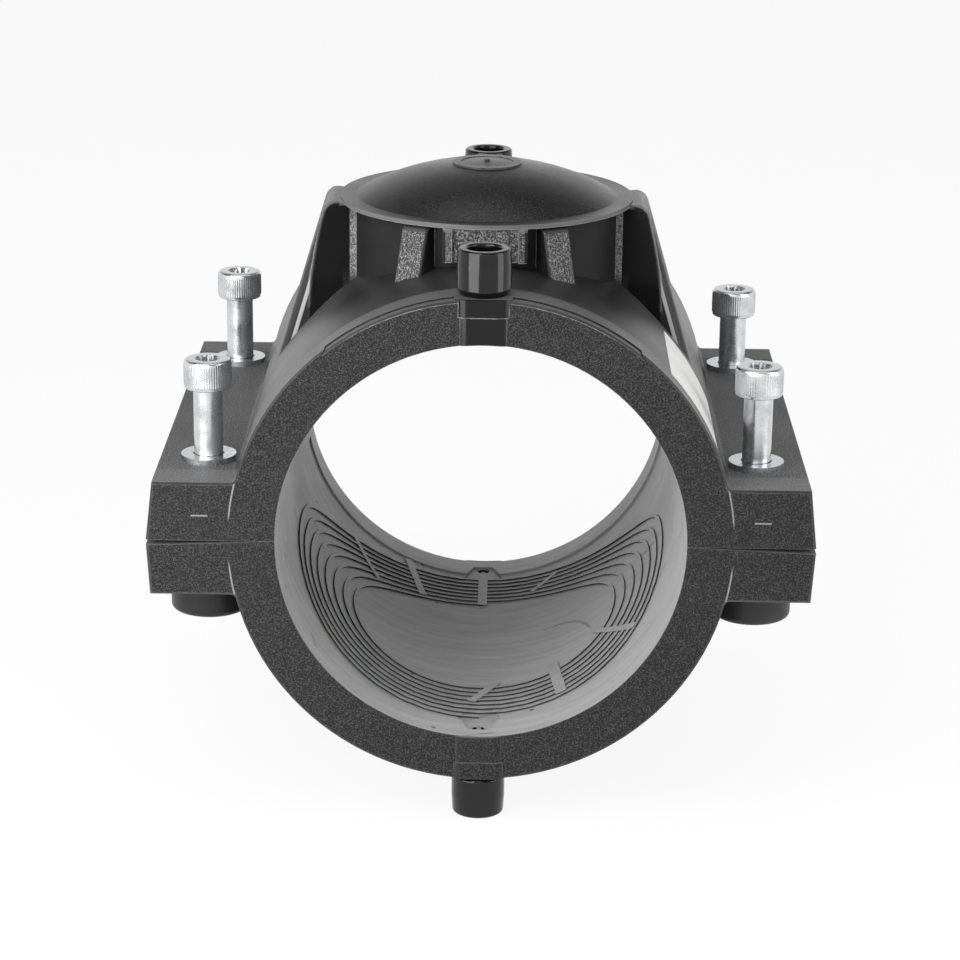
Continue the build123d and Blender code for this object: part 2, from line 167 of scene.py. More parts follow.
class Look(Graph):
    """The graph of one material, with its shader and its texture coordinates."""

    def __init__(self, name):
        self.material = bpy.data.materials.new(name)
        self.material.use_nodes = True
        super().__init__(self.material.node_tree)
        self.shader = self.tree.nodes["Principled BSDF"]
        self.place = self.add("ShaderNodeTexCoord").outputs

    def stretched(self, scale):
        made = self.add("ShaderNodeMapping")
        self.feed(made.inputs["Vector"], self.place["Object"])
        made.inputs["Scale"].default_value = scale
        return made.outputs[0]

    def noise(self, scale, detail=2.0, rough=0.5, vector=None):
        made = self.add("ShaderNodeTexNoise")
        self.feed(made.inputs["Vector"], vector or self.place["Object"])
        made.inputs["Scale"].default_value = scale
        made.inputs["Detail"].default_value = detail
        made.inputs["Roughness"].default_value = rough
        return made.outputs["Fac"]

    def stretched_noise(self, scales, detail, rough):
        """Noise with a scale of its own on each axis."""
        return self.noise(1.0, detail, rough, self.stretched(scales))

    def ramp(self, value, stops):
        made = self.add("ShaderNodeValToRGB")
        self.feed(made.inputs[0], value)
        elements = made.color_ramp.elements
        while len(elements) < len(stops):
            elements.new(0.5)
        for element, (position, colour) in zip(elements, stops):
            element.position = position
            element.color = (*colour, 1.0)
        return made.outputs[0]

    def mix(self, share, first, second):
        made = self.add("ShaderNodeMix", data_type="RGBA")
        self.feed(made.inputs[0], share)
        self.feed(made.inputs[6], first)
        self.feed(made.inputs[7], second)
        return made.outputs[2]

    def edge(self, radius, plain=0.985, soft=0.08):
        """How near an edge of the piece is: 0 on a plain face, 1 at the edge."""
        rounded = self.add("ShaderNodeBevel", samples=4)
        rounded.inputs["Radius"].default_value = radius
        plain_normal = self.add("ShaderNodeNewGeometry").outputs["Normal"]
        made = self.add("ShaderNodeVectorMath", operation="DOT_PRODUCT")
        self.feed(made.inputs[0], rounded.outputs[0])
        self.feed(made.inputs[1], plain_normal)
        return self.fade(made.outputs["Value"], plain, plain - soft)

    def bump(self, height, depth, strength):
        made = self.add("ShaderNodeBump")
        made.inputs["Strength"].default_value = strength
        made.inputs["Distance"].default_value = depth
        self.feed(made.inputs["Height"], height)
        return made.outputs[0]

    def set(self, **values):
        for key, value in values.items():
            self.feed(self.shader.inputs[key.replace("_", " ")], value)


# Linear greys of the bore, shared by the shells, the wires' faces, the contact feet and the wire clips
BORE_DARK = grey(0.25)
BORE_MIDDLE = grey(0.31)
BORE_LIGHT = grey(0.38)
BORE_STOPS = [(0.3, BORE_DARK), (0.7, BORE_MIDDLE)]

# Linear greys of the shells: black for painted shade and for the dome's own tone, painted sheen and
# highlights, marks, and edge wear that is partly a painted edge highlight
BLACK = 0.002
GRAIN_SHADE = 0.008
PAINTED_SHEEN = 0.23
DOME_CREST = 0.16
PAINTED_RIM_HIGHLIGHT = 0.13
PAINTED_FLANK_GLINT = 0.30
MARK = 0.34
WEAR_AND_EDGE_HIGHLIGHT = 0.17
HUB_WEAR_AND_EDGE_HIGHLIGHT = 0.40
BORE_SPOT = 0.03

# Where the finishes, the painted shade and the painted highlights of the shells lie: |X| across, |Y| from the
# middle, Z up, or a radius
SEAT_HALF_WIDTH = 8.6
END_START = 70.0
BORE_SKIN = BORE + 0.85
FLANGE_START = 62.0
DOME_START = 77.0
HUB_BOTTOM, HUB_TOP = 55.0, 79.0
HUB_REACH = 60.0
RIB_REACH = 56.0
BLOCK_HALF_WIDTH = 12.5
BLOCK_START, BLOCK_END = 38.5, 60.0
NECK_HALF_LENGTH = 10.0
NECK_START, NECK_END = 35.0, 39.2
BUTTRESS_HALF_LENGTH = 20.0
FLANK_START = 39.5
FLANK_BOTTOM, FLANK_TOP = 36.0, 80.0
FLANK_EDGE_RADIUS = 69.5
LINE_START, LINE_BOTTOM = 38.0, 30.0
RIM_RADII = (40.2, 42.5)
RIM_BOTTOM = 77.4
SHOULDER_START, SHOULDER_BOTTOM = 34.0, 14.0
BAND_START = 61.0
END_RING_RADIUS = 66.4
END_RING_HALF_WIDTH = 65.0
HUB_FOOT_END = 60.5
RING_LINE_HALF_WIDTH = 0.28
RING_LINE_START = 60.0
RING_LINE_BOTTOM = 5.0
DASH_ACROSS, DASH_HEIGHT = 75.0, 7.0
DASH_HALF_LENGTH, DASH_HALF_WIDTH = 2.4, 0.28


class ShellRegions:
    """Where each finish, painted shade, painted sheen and painted highlight of the shells lies, as values
    from 0 to 1 from the skin's place and facing.
    """

    def __init__(self, g):
        x, y, z = g.axes(g.place["Object"])
        facing_x, facing_y, upward = g.axes(g.place["Normal"])
        across = g.math("ABSOLUTE", x)
        from_middle = g.math("ABSOLUTE", y)
        from_axis = g.radius(x, z)
        from_hub = g.radius(x, y)
        end_on = g.math("ABSOLUTE", facing_y)
        level_on = g.math("ABSOLUTE", upward)
        off_skin = g.away_from(from_axis, OUTER * MM)
        faces_end = g.fade(end_on, 0.90, 0.97)

        # The flat face below each upper terminal, which gets painted shade, the ends round it, the bore, the
        # flange tops and the dome
        self.seat = g.product(
            g.within(across, SEAT_HALF_WIDTH, 0.4),
            g.beyond(from_middle, HALF_LENGTH + 0.05, 0.1),
            g.beyond(z, 0.0, 1.0),
        )
        self.ends = g.product(
            g.fade(end_on, 0.80, 0.93), g.all_but(self.seat), g.beyond(from_middle, END_START, 0.5)
        )
        self.bore = g.product(
            g.within(from_axis, BORE_SKIN, 0.1), g.within(from_middle, HALF_LENGTH - 0.1, 0.2)
        )
        self.flat = g.product(g.beyond(across, FLANGE_START, 4.0), g.fade(upward, 0.9, 0.97))
        self.dome = g.product(g.beyond(z, DOME_START, 1.5), g.fade(upward, 0.6, 0.8))

        # The hub's height, with its ribs, end blocks, narrow neck faces with a painted highlight and the
        # recess between them with painted shade
        self.hub = g.product(g.beyond(z, HUB_BOTTOM, 5.0), g.within(z, HUB_TOP, 0.8))
        self.ribs = g.product(
            g.fade(upward, 0.24, 0.28),
            g.fade(upward, 0.40, 0.34),
            self.hub,
            g.within(from_hub, RIB_REACH, 3.0),
        )
        self.block = g.product(
            faces_end,
            g.within(across, BLOCK_HALF_WIDTH, 0.7),
            self.hub,
            g.beyond(from_middle, BLOCK_START, 0.7),
            g.within(from_middle, BLOCK_END, 1.0),
        )
        self.neck = g.product(
            faces_end,
            g.within(from_middle, NECK_HALF_LENGTH, 0.5),
            self.hub,
            g.beyond(across, NECK_START, 0.5),
            g.within(across, NECK_END, 0.4),
        )
        self.recess = g.product(
            g.fade(level_on, 0.22, 0.12),
            self.hub,
            g.within(from_hub, HUB_REACH, 4.0),
            g.all_but(g.greatest(self.block, self.neck)),
        )

        # The buttresses' inner flanks, which get painted shade, and the painted highlight line on their front
        # edges
        on_buttress = g.within(from_middle, BUTTRESS_HALF_LENGTH, 1.0)
        self.flank = g.product(
            g.fade(end_on, 0.75, 0.82),
            g.beyond(across, FLANK_START, 1.0),
            g.beyond(z, FLANK_BOTTOM, 6.0),
            g.within(z, FLANK_TOP, 1.0),
            on_buttress,
        )
        rounding = g.product(
            g.fade(end_on, 0.89, 0.92),
            g.fade(end_on, 0.999, 0.994),
            g.fade(g.product(x, facing_x), 0.0, 0.002),
            g.beyond(z, LINE_BOTTOM, 6.0),
            g.beyond(across, LINE_START, 1.0),
            on_buttress,
        )
        flank_edge = g.product(g.edge(0.0015, 0.997), self.flank, g.beyond(from_axis, FLANK_EDGE_RADIUS, 0.7))
        self.painted_flank_glint = g.greatest(rounding, flank_edge)

        # The rim below the dome, whose edge face gets a painted highlight
        self.rim = g.product(
            g.fade(level_on, 0.5, 0.3),
            g.beyond(from_hub, RIM_RADII[0], 0.4),
            g.beyond(z, RIM_BOTTOM, 0.2),
            g.within(from_hub, RIM_RADII[1], 0.5),
        )
        # The shoulders and the band at each end, where a pale sheen is painted
        self.shoulder = g.product(
            g.beyond(across, SHOULDER_START, 18.0),
            g.fade(end_on, 0.5, 0.3),
            g.beyond(z, SHOULDER_BOTTOM, 6.0),
        )
        self.band = g.product(g.beyond(from_middle, BAND_START, 1.5), g.fade(end_on, 0.3, 0.1))

        # The fine ring on each end and the dash on each flange's end
        ring_line = g.product(
            g.within(off_skin, RING_LINE_HALF_WIDTH, 0.14),
            g.beyond(g.math("ABSOLUTE", z), RING_LINE_BOTTOM, 3.0),
            g.beyond(across, RING_LINE_START, 1.0),
        )
        dash = g.product(
            g.within(g.away_from(across, DASH_ACROSS * MM), DASH_HALF_LENGTH, 0.3),
            g.within(g.away_from(z, DASH_HEIGHT * MM), DASH_HALF_WIDTH, 0.12),
        )
        self.marks = g.product(g.greatest(ring_line, dash), self.ends)

        level_faces = g.greatest(g.product(self.flat, 0.9), g.product(self.dome, 0.7))
        self.grained = g.greatest(self.ends, self.ribs, self.block, level_faces)

        # Places whose edges get neither wear nor painted edge highlight: the band and ring at each end, and
        # the corner at the hub's foot
        end_ring = g.product(
            g.beyond(from_axis, END_RING_RADIUS, 0.3),
            g.beyond(from_middle, END_START, 0.5),
            g.within(across, END_RING_HALF_WIDTH, 1.0),
        )
        hub_foot = g.product(g.within(off_skin, 0.8, 0.3), g.within(from_middle, HUB_FOOT_END, 1.0))
        self.no_edge_wear_or_highlight = g.greatest(self.band, end_ring, hub_foot)


def outer_colour(g, on, speck, mottle, cloud):
    """Satin black skin with grained faces, a blacker dome, painted shade, painted sheen and highlights,
    marks, and edge wear partly painted as edge highlights.
    """
    skin = g.ramp(cloud, greys((0.3, 0.014), (0.55, 0.024), (0.75, 0.040)))
    grain = g.ramp(speck, greys((0.38, 0.002), (0.50, 0.009), (0.60, 0.050)))
    grain = g.mix(g.fade(mottle, 0.35, 0.7, 0.0, 0.35), grain, solid(GRAIN_SHADE))
    rib_grain = g.ramp(speck, greys((0.36, 0.008), (0.50, 0.06), (0.62, 0.26)))
    flat_grain = g.ramp(speck, greys((0.38, 0.010), (0.50, 0.06), (0.60, 0.23)))
    neck_grain_painted_highlight = g.ramp(speck, greys((0.36, 0.04), (0.50, 0.14), (0.62, 0.32)))
    # Painted shade: black in the hub's recess, on the buttresses' inner flanks and on the upper seats; the
    # dome is also made blacker as its own tone
    shade_and_dome_black = g.greatest(
        g.product(g.greatest(on.recess, on.flank), 0.8), g.product(on.seat, 0.95), g.product(on.dome, 0.6)
    )
    # Edge wear, partly a painted highlight along the edges, stronger on the hub
    wear_and_edge_highlight = g.product(g.edge(0.0004), g.fade(mottle, 0.35, 0.60, 0.3, 1.0), g.all_but(on.no_edge_wear_or_highlight))
    colour = g.mix(on.grained, skin, grain)
    layers = [
        (g.product(g.greatest(on.ribs, on.block), 0.9), rib_grain),
        (g.product(on.flat, 0.7), flat_grain),
        # Painted sheen on the shoulders and the end bands
        (g.product(g.greatest(on.shoulder, on.band), 0.3), solid(PAINTED_SHEEN)),
        (shade_and_dome_black, solid(BLACK)),
        (g.product(g.fade(speck, 0.50, 0.60), on.dome, 0.06), solid(DOME_CREST)),
        (g.product(on.rim, 0.8), solid(PAINTED_RIM_HIGHLIGHT)),
        # Grain on the narrow neck faces, paler as a painted highlight
        (on.neck, neck_grain_painted_highlight),
        # Painted highlight: a pale line on the rounded front edges of the buttresses' flanks
        (on.painted_flank_glint, solid(PAINTED_FLANK_GLINT)),
        (g.product(on.marks, 0.6), solid(MARK)),
        (g.product(wear_and_edge_highlight, 0.6), solid(WEAR_AND_EDGE_HIGHLIGHT)),
        (g.product(wear_and_edge_highlight, on.hub, 0.7), solid(HUB_WEAR_AND_EDGE_HIGHLIGHT)),
    ]
    for share, layer in layers:
        colour = g.mix(share, colour, layer)
    return colour


def bore_colour(g, cloud, streak):
    """The bore's satin grey with dark dots and hairlines."""
    shade = g.total(g.product(streak, 0.6), g.product(cloud, 0.4))
    colour = g.ramp(shade, [(0.32, BORE_DARK), (0.5, BORE_MIDDLE), (0.7, BORE_LIGHT)])
    cells = g.add("ShaderNodeTexVoronoi")
    g.feed(cells.inputs["Vector"], g.place["Object"])
    cells.inputs["Scale"].default_value = 90.0
    dots = g.product(g.fade(cells.outputs["Distance"], 0.075, 0.040), g.fade(cloud, 0.44, 0.50))
    trace = g.away_from(g.noise(14.0, 1.0, 0.4), 0.5)
    hairline = g.product(g.fade(trace, 0.0040, 0.0015), g.fade(g.noise(70.0, 2.0, 0.5), 0.52, 0.58))
    spots = g.greatest(g.product(dots, 0.85), g.product(hairline, 0.5))
    return g.mix(spots, colour, solid(BORE_SPOT))


def shell_material():
    """Moulded polyethylene: grained ends, satin outer skin, painted shade in the recesses and a paler,
    smoother bore.
    """
    g = Look("moulded_polyethylene")
    on = ShellRegions(g)
    speck = g.noise(2300.0, 3.0, 0.65)
    fine = g.noise(2600.0, 2.0, 0.6)
    mottle = g.noise(420.0, 3.0, 0.6)
    cloud = g.noise(24.0, 3.0, 0.55)
    streak = g.stretched_noise((40.0, 330.0, 40.0), 4.0, 0.6)
    scuff = g.stretched_noise((160.0, 120.0, 160.0), 3.0, 0.7)

    colour = g.mix(on.bore, outer_colour(g, on, speck, mottle, cloud), bore_colour(g, cloud, streak))
    rougher = g.total(
        g.fade(cloud, 0.3, 0.7, 0.34, 0.46),
        g.product(on.grained, 0.22),
        g.product(on.bore, scuff, 0.15),
        g.product(on.recess, 0.30),
    )
    rough = g.math("SUBTRACT", rougher, g.product(g.greatest(on.seat, on.dome), 0.28))
    smooth_places = g.greatest(on.bore, on.seat, g.product(on.dome, 0.7))
    grain_height = g.product(
        speck, g.fade(on.grained, 0.0, 1.0, 0.10, 1.0), g.fade(smooth_places, 0.0, 1.0, 1.0, 0.2)
    )
    fine_height = g.product(fine, g.fade(on.seat, 0.0, 1.0, 0.08, 0.01))
    height = g.total(grain_height, fine_height, g.product(streak, on.bore, 0.25))
    g.set(Base_Color=colour, Roughness=rough, Specular_IOR_Level=0.30, Normal=g.bump(height, 0.00022, 0.8))
    return g.material


def shroud_material():
    """Glossy moulded plastic with fine turning marks and scuffs."""
    g = Look("gloss_shroud")
    cloud = g.noise(90.0, 3.0, 0.6)
    rings = g.stretched_noise((120.0, 120.0, 2200.0), 2.0, 0.5)
    scuff = g.noise(180.0, 3.0, 0.6)
    colour = g.ramp(cloud, greys((0.35, 0.002), (0.6, 0.004), (0.8, 0.009)))
    rough = g.fade(scuff, 0.35, 0.75, 0.09, 0.14)
    g.set(Base_Color=colour, Roughness=rough, Specular_IOR_Level=0.40, Normal=g.bump(rings, 0.00001, 0.2))
    return g.material


def zinc_material():
    """Bright zinc plate: clear, slightly cloudy, with a drawn grain and dull patches."""
    g = Look("zinc_plate")
    cloud = g.noise(160.0, 4.0, 0.6)
    drawn = g.stretched_noise((2600.0, 2600.0, 160.0), 3.0, 0.6)
    spots = g.noise(900.0, 3.0, 0.7)
    colour = g.ramp(cloud, [(0.3, (0.52, 0.53, 0.55)), (0.55, (0.68, 0.69, 0.71)), (0.8, (0.80, 0.80, 0.81))])
    colour = g.mix(g.fade(spots, 0.62, 0.74, 0.0, 0.5), colour, (0.34, 0.34, 0.35, 1.0))
    rough = g.fade(cloud, 0.3, 0.7, 0.20, 0.34)
    height = g.total(g.product(drawn, 0.6), g.product(spots, 0.4))
    g.set(Base_Color=colour, Roughness=rough, Metallic=1.0, Normal=g.bump(height, 0.00004, 0.6))
    return g.material


# Height at which a contact's foot of the bore's grey gives way to brass, and that beyond which its hole gets
# painted shade
FOOT_TOP = 59.0
FOOT_HOLE_SHADE = 55.80


def brass_material(name, light, dark, rings, foot=False):
    """Turned brass with a thread or turning marks along its axis; a foot in the bore has the bore's grey,
    with painted shade in its hole.
    """
    g = Look(name)
    cloud = g.noise(220.0, 3.0, 0.6)
    turned = g.stretched_noise((40.0, 40.0, rings), 2.0, 0.5)
    colour = g.ramp(cloud, [(0.3, dark), (0.65, light)])
    rough = g.fade(cloud, 0.3, 0.7, 0.24, 0.4)
    metal = 1.0
    if foot:
        from_bore_axis = g.math("ABSOLUTE", g.axes(g.place["Object"])[2])
        on_foot = g.within(from_bore_axis, FOOT_TOP, 0.2)
        # Painted shade: the foot's hole is coloured black
        skin = g.mix(g.beyond(from_bore_axis, FOOT_HOLE_SHADE, 0.15), g.ramp(cloud, BORE_STOPS), solid(BLACK))
        colour = g.mix(on_foot, colour, skin)
        rough = g.greatest(rough, g.product(on_foot, 0.5))
        metal = g.all_but(on_foot)
    g.set(Base_Color=colour, Roughness=rough, Metallic=metal, Normal=g.bump(turned, 0.00006, 0.7))
    return g.material


def wire_material():
    """Resistance wire under a film of plastic: pale where it faces the bore, with painted shade down its
    sides.
    """
    g = Look("heating_wire")
    x, _, z = g.axes(g.place["Object"])
    facing_x, _, facing_z = g.axes(g.place["Normal"])
    outward = g.total(g.product(x, facing_x), g.product(z, facing_z))
    towards_axis = g.math("ABSOLUTE", g.math("DIVIDE", outward, g.radius(x, z)))
    face = g.fade(towards_axis, 0.6, 0.85)
    cloud = g.noise(120.0, 3.0, 0.6)
    fine = g.noise(2400.0, 2.0, 0.6)
    film = g.ramp(cloud, [(0.3, BORE_DARK), (0.5, BORE_MIDDLE), (0.7, BORE_LIGHT)])
    film = g.mix(0.25, film, solid(0.16))
    # Painted shade down the wire's sides
    side = g.ramp(cloud, greys((0.3, 0.025), (0.6, 0.045), (0.8, 0.08)))
    rough = g.fade(fine, 0.3, 0.7, 0.42, 0.6)
    g.set(Base_Color=g.mix(face, side, film), Roughness=rough, Normal=g.bump(fine, 0.00005, 0.6))
    return g.material


def clip_material():
    """Strips of the bore's own plastic that hold the wires down."""
    g = Look("wire_clip")
    cloud = g.noise(90.0, 3.0, 0.6)
    fine = g.noise(1900.0, 3.0, 0.6)
    rough = g.fade(fine, 0.3, 0.7, 0.40, 0.58)
    g.set(Base_Color=g.ramp(cloud, BORE_STOPS), Roughness=rough, Normal=g.bump(fine, 0.00006, 0.6))
    return g.material


def label_material():
    """Blank pale film with faint creases."""
    g = Look("blank_label")
    cloud = g.noise(70.0, 3.0, 0.5)
    crease = g.stretched_noise((150.0, 420.0, 150.0), 3.0, 0.6)
    colour = g.ramp(cloud, [(0.3, (0.60, 0.60, 0.59)), (0.7, (0.74, 0.74, 0.73))])
    rough = g.fade(crease, 0.3, 0.7, 0.30, 0.48)
    g.set(Base_Color=colour, Roughness=rough, Normal=g.bump(crease, 0.00012, 0.6))
    return g.material


FLOOR_PAINT = 0.86
FLOOR_GLOW = 0.90  # how much of the floor is seen as plain white


def floor_material():
    """White floor that is seen nearly white, with the object's soft shadow kept."""
    material = bpy.data.materials.new("floor")
    material.use_nodes = True
    g = Graph(material.node_tree)
    g.tree.nodes.clear()
    paint = g.add("ShaderNodeBsdfDiffuse")
    g.feed(paint.inputs["Color"], solid(FLOOR_PAINT))
    glow = g.add("ShaderNodeEmission")
    g.feed(glow.inputs["Color"], solid(1.0))
    surface = g.add("ShaderNodeMixShader")
    g.feed(surface.inputs[0], g.product(g.seen_directly(), FLOOR_GLOW))
    g.feed(surface.inputs[1], paint.outputs[0])
    g.feed(surface.inputs[2], glow.outputs[0])
    g.feed(g.add("ShaderNodeOutputMaterial").inputs[0], surface.outputs[0])
    return material


def new_object(name, verts, faces, material):
    """A smoothly shaded mesh object from points in millimetres."""
    mesh = bpy.data.meshes.new(name)
    mesh.from_pydata([tuple(c * MM for c in v) for v in verts], [], faces)
    mesh.validate()
    mesh.materials.append(material)
    work = bmesh.new()
    work.from_mesh(mesh)
    bmesh.ops.recalc_face_normals(work, faces=work.faces)
    work.to_mesh(mesh)
    work.free()
    for polygon in mesh.polygons:
        polygon.use_smooth = True
    piece = bpy.data.objects.new(name, mesh)
    bpy.context.scene.collection.objects.link(piece)
    return piece


def sharpen(piece, degrees_limit=32.0):
    """Keeps edges sharper than this as edges in the shading."""
    piece.data.set_sharp_from_angle(angle=math.radians(degrees_limit))


shell_look = shell_material()
shroud_look = shroud_material()
zinc_look = zinc_material()
contact_look = brass_material("contact_brass", (0.62, 0.48, 0.26), (0.36, 0.27, 0.15), 1400.0, foot=True)
insert_look = brass_material("insert_brass", (0.58, 0.45, 0.24), (0.34, 0.26, 0.14), 800.0)
wire_look = wire_material()
label_look = label_material()
clip_look = clip_material()

# Look of each model piece, by the last word of its name
looks = {
    "shell": shell_look,
    "coil": wire_look,
    "shroud": shroud_look,
    "pin": contact_look,
    "insert": insert_look,
    "washer": zinc_look,
    "screw": zinc_look,
}
for name, piece in nodes.items():
    piece.data.materials.clear()
    piece.data.materials.append(looks[name.split("_")[-1]])
    for polygon in piece.data.polygons:
        polygon.use_smooth = True
    sharpen(piece)


# Cap screws: knurled head, hexagon socket, plain shank and rolled thread
SCREW_RADIUS = 4.0
SCREW_LENGTH = 40.0
HEAD_RADIUS = 6.5
HEAD_HEIGHT = 8.0
CROWN_RADIUS = 5.55  # of the head's flat top, inside its rounding
CROWN_ROUNDING = 0.83
ROUNDING_STEPS = 5
SOCKET_FLATS = 6.0
SOCKET_DEPTH = 4.0
SOCKET_MOUTH = 3.62
DRILL_RADIUS = 2.7
DRILL_TIP = 0.02
KNURLS = 60
KNURL_DEPTH = 0.13
PLAIN_SHANK = 19.0
PLAIN_RADIUS = SCREW_RADIUS - 0.05
FILLET_RADIUS = 4.02
PITCH = 1.25
THREAD_DEPTH = 0.72
THREAD_CREST = 0.14  # share of a half turn that stays at full radius
THREAD_SLOPE = 0.68  # share of a half turn over which the flank goes down to the root
TIP_CHAMFER = 0.9
THREAD_ROWS = 10
UNDERSIDE = 0.02  # the head's seat keeps this far off the washer when it is driven home
HEAD_RING = 4 * KNURLS
SHANK_RING = 60


def hexagon_radius(angle, flats):
    """Distance from the centre to a hexagon's side at this angle."""
    sector = math.pi / 3
    return flats / 2 / math.cos(angle % sector - sector / 2)


def ring_points(count, z, radius_at):
    """A ring of points about the Z axis, with its radius from a function of the angle."""
    points = []
    for i in range(count):
        angle = 2 * math.pi * i / count
        radius = radius_at(angle)
        points.append((radius * math.cos(angle), radius * math.sin(angle), z))
    return points


def knurled(radius, share):
    return lambda angle: radius - share * KNURL_DEPTH * (0.5 - 0.5 * math.cos(KNURLS * angle))


def plain(radius):
    return lambda angle: radius


def bridge(faces, first, first_count, second, second_count):
    """Faces between two rings whose counts divide each other."""
    count = max(first_count, second_count)
    for i in range(count):
        a = first + i * first_count // count
        b = first + (i + 1) * first_count // count % first_count
        c = second + (i + 1) * second_count // count % second_count
        d = second + i * second_count // count
        face = []
        for index in (a, b, c, d):
            if index not in face:
                face.append(index)
        faces.append(face)


def thread_radius(z_down, angle):
    """Radius of the threaded shank this far under the head's seat."""
    turn = (z_down / PITCH + angle / (2 * math.pi)) % 1.0
    flank = (abs(turn - 0.5) * 2 - THREAD_CREST) / THREAD_SLOPE
    depth = THREAD_DEPTH * min(1.0, max(0.0, flank))
    depth *= min(1.0, max(0.0, (z_down - PLAIN_SHANK) / PITCH))
    to_tip = SCREW_LENGTH - z_down
    return min(SCREW_RADIUS - depth, SCREW_RADIUS - TIP_CHAMFER + to_tip)


def head_rows():
    """Heights and radii of the head, from the bottom of its socket over the top to its seat."""
    top = HEAD_HEIGHT
    socket_floor = top - SOCKET_DEPTH
    rows = [
        (socket_floor - 0.9, plain(DRILL_TIP)),
        (socket_floor - 0.15, plain(DRILL_RADIUS)),
        (socket_floor, lambda a: hexagon_radius(a, SOCKET_FLATS) * 0.985),
        (top - 0.35, lambda a: hexagon_radius(a, SOCKET_FLATS)),
        (top - 0.02, lambda a: max(hexagon_radius(a, SOCKET_FLATS) + 0.06, 3.36)),
        (top, plain(SOCKET_MOUTH)),
        (top, plain(CROWN_RADIUS)),
    ]
    for step in range(1, ROUNDING_STEPS + 1):
        angle = math.radians(90 / ROUNDING_STEPS * step)
        z = top - CROWN_ROUNDING + CROWN_ROUNDING * math.cos(angle)
        rows.append((z, plain(CROWN_RADIUS + CROWN_ROUNDING * math.sin(angle))))
    rows += [
        (top - 1.15, knurled(HEAD_RADIUS, 0.55)),
        (top - 1.45, knurled(HEAD_RADIUS, 1.0)),
        (1.25, knurled(HEAD_RADIUS, 1.0)),
        (0.95, knurled(HEAD_RADIUS - 0.05, 0.5)),
        (0.75, plain(HEAD_RADIUS - 0.16)),
        (0.22, plain(HEAD_RADIUS - 0.2)),
        (UNDERSIDE, plain(HEAD_RADIUS - 0.45)),
    ]
    return rows


def shank_rows():
    """Heights and radii of the shank, from the head's seat down the thread to the tip."""
    rows = [
        (UNDERSIDE, plain(FILLET_RADIUS)),
        (-0.4, plain(PLAIN_RADIUS)),
        (1.0 - PLAIN_SHANK, plain(PLAIN_RADIUS)),
    ]
    count = round((SCREW_LENGTH - PLAIN_SHANK) / PITCH * THREAD_ROWS)
    for row in range(count + 1):
        down = PLAIN_SHANK + (SCREW_LENGTH - PLAIN_SHANK) * row / count
        rows.append((-down, lambda a, d=down: thread_radius(d, a)))
    return rows


def cap_screw(name, x, y, seat, turn):
    """One screw with the underside of its head at this height."""
    verts, faces = [], []
    previous = None
    for count, rows in ((HEAD_RING, head_rows()), (SHANK_RING, shank_rows())):
        for z, radius_at in rows:
            start = len(verts)
            verts.extend(ring_points(count, z, radius_at))
            if previous:
                bridge(faces, *previous, start, count)
            previous = (start, count)
    faces.append(list(range(HEAD_RING)))
    faces.append(list(range(previous[0], previous[0] + SHANK_RING)))
    cos_turn, sin_turn = math.cos(turn), math.sin(turn)
    verts = [
        (x + px * cos_turn - py * sin_turn, y + px * sin_turn + py * cos_turn, seat + pz)
        for px, py, pz in verts
    ]
    piece = new_object(name, verts, faces, zinc_look)
    sharpen(piece, 38.0)
    return piece


# Each screw with the angle, in radians, at which its socket stands
for corner, turn in (("front_left", 0.35), ("front_right", 1.25), ("rear_left", 0.8), ("rear_right", 0.15)):
    node = f"{corner}_cap_screw"
    low, high = (Vector(point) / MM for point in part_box(node))
    x, y = (low.x + high.x) / 2, (low.y + high.y) / 2
    screw = cap_screw(f"{corner}_knurled_screw", x, y, high.z - HEAD_HEIGHT, turn)
    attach(screw, f"{corner}_screw")
    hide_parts(node)


def bore_point(angle, y, radius):
    """A point on the lower bore: angle in degrees from straight down towards +X."""
    return (radius * math.sin(math.radians(angle)), y, -radius * math.cos(math.radians(angle)))


def between(corners, u, v):
    """The point at u and v, each from 0 to 1, inside four corners given in turn."""
    return [(1 - v) * ((1 - u) * a + u * b) + v * ((1 - u) * d + u * c) for a, b, c, d in zip(*corners)]


def patch(name, corners, radius, thickness, material, sign, across, along):
    """A thin curved plate on a cylinder about the bore axis, between four (angle, y) corners.

    The sign is 1 for the lower half and -1 for the upper one, and across and along are counts of faces.
    """
    verts, faces = [], []
    for layer in (radius, radius + thickness):
        for i in range(across + 1):
            for j in range(along + 1):
                angle, y = between(corners, i / across, j / along)
                px, py, pz = bore_point(angle, y, layer)
                verts.append((px, py, pz * sign))
    step = along + 1
    layer_size = (across + 1) * step
    for i in range(across):
        for j in range(along):
            a = i * step + j
            quad = [a, a + 1, a + step + 1, a + step]
            faces.append(quad)
            faces.append([q + layer_size for q in reversed(quad)])
    rim = [i * step for i in range(across + 1)]
    rim += [across * step + j for j in range(1, along + 1)]
    rim += [i * step + along for i in range(across - 1, -1, -1)]
    rim += list(range(along - 1, 0, -1))
    for index, a in enumerate(rim):
        b = rim[(index + 1) % len(rim)]
        faces.append([a, b, b + layer_size, a + layer_size])
    piece = new_object(name, verts, faces, material)
    sharpen(piece)
    return piece


# Blank label on the right shoulder of the upper shell, between these angles from the top and these Y
LABEL_ANGLES = (47.5, 68.0)
LABEL_Y = (-66.0, -20.0)
LABEL_THICKNESS = 0.12
SURFACE_GAP = 0.02  # between a thin plate and the face that it lies on
label_corners = [
    (LABEL_ANGLES[0], LABEL_Y[0]),
    (LABEL_ANGLES[1], LABEL_Y[0]),
    (LABEL_ANGLES[1], LABEL_Y[1]),
    (LABEL_ANGLES[0], LABEL_Y[1]),
]
label = patch("blank_label", label_corners, OUTER + SURFACE_GAP, LABEL_THICKNESS, label_look, -1.0, 32, 24)
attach(label, "upper_half")

